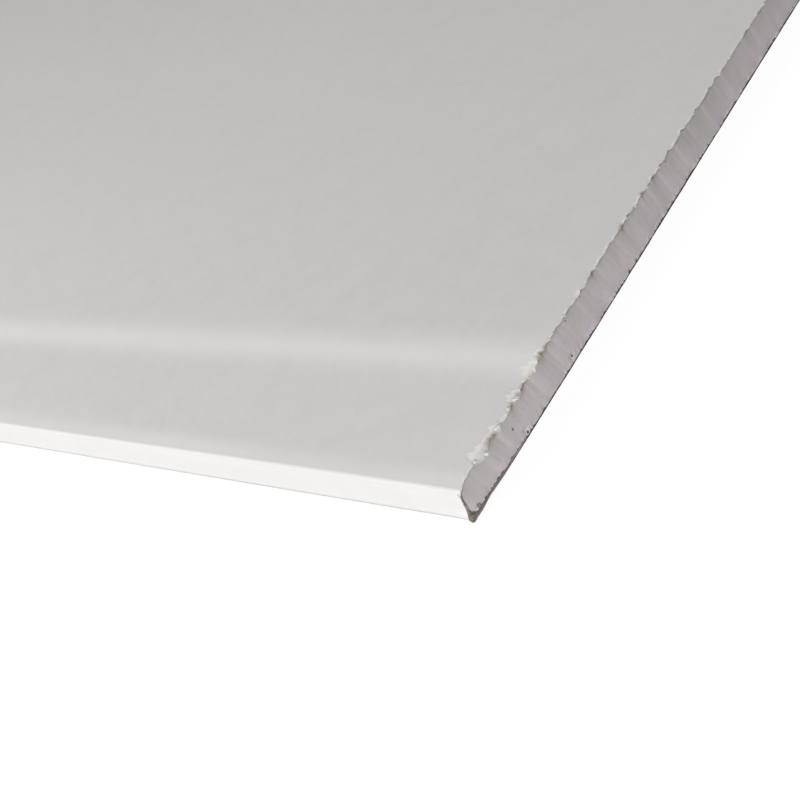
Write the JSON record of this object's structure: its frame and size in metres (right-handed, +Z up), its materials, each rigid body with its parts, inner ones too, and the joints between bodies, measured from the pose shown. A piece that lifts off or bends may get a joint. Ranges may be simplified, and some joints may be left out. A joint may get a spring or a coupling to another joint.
{
  "type": "drywall sheet",
  "caption": "Flat gypsum wallboard sheet with a papered face, tapered papered long edges and raw cut ends, lying face up.",
  "frame": {"origin": "middle of the back, on the plane that the sheet lies on", "axes": "+X along the length, +Y across the width, +Z up out of the papered face"},
  "size_m": [2.4384, 1.2192, 0.0127],
  "materials": {
    "face_paper": "matte",
    "gypsum": "matte",
    "back_paper": "matte"
  },
  "bodies": {
    "root": {"face_paper": "face_paper", "gypsum_core": "gypsum", "back_paper": "back_paper"}
  },
  "joints": []
}
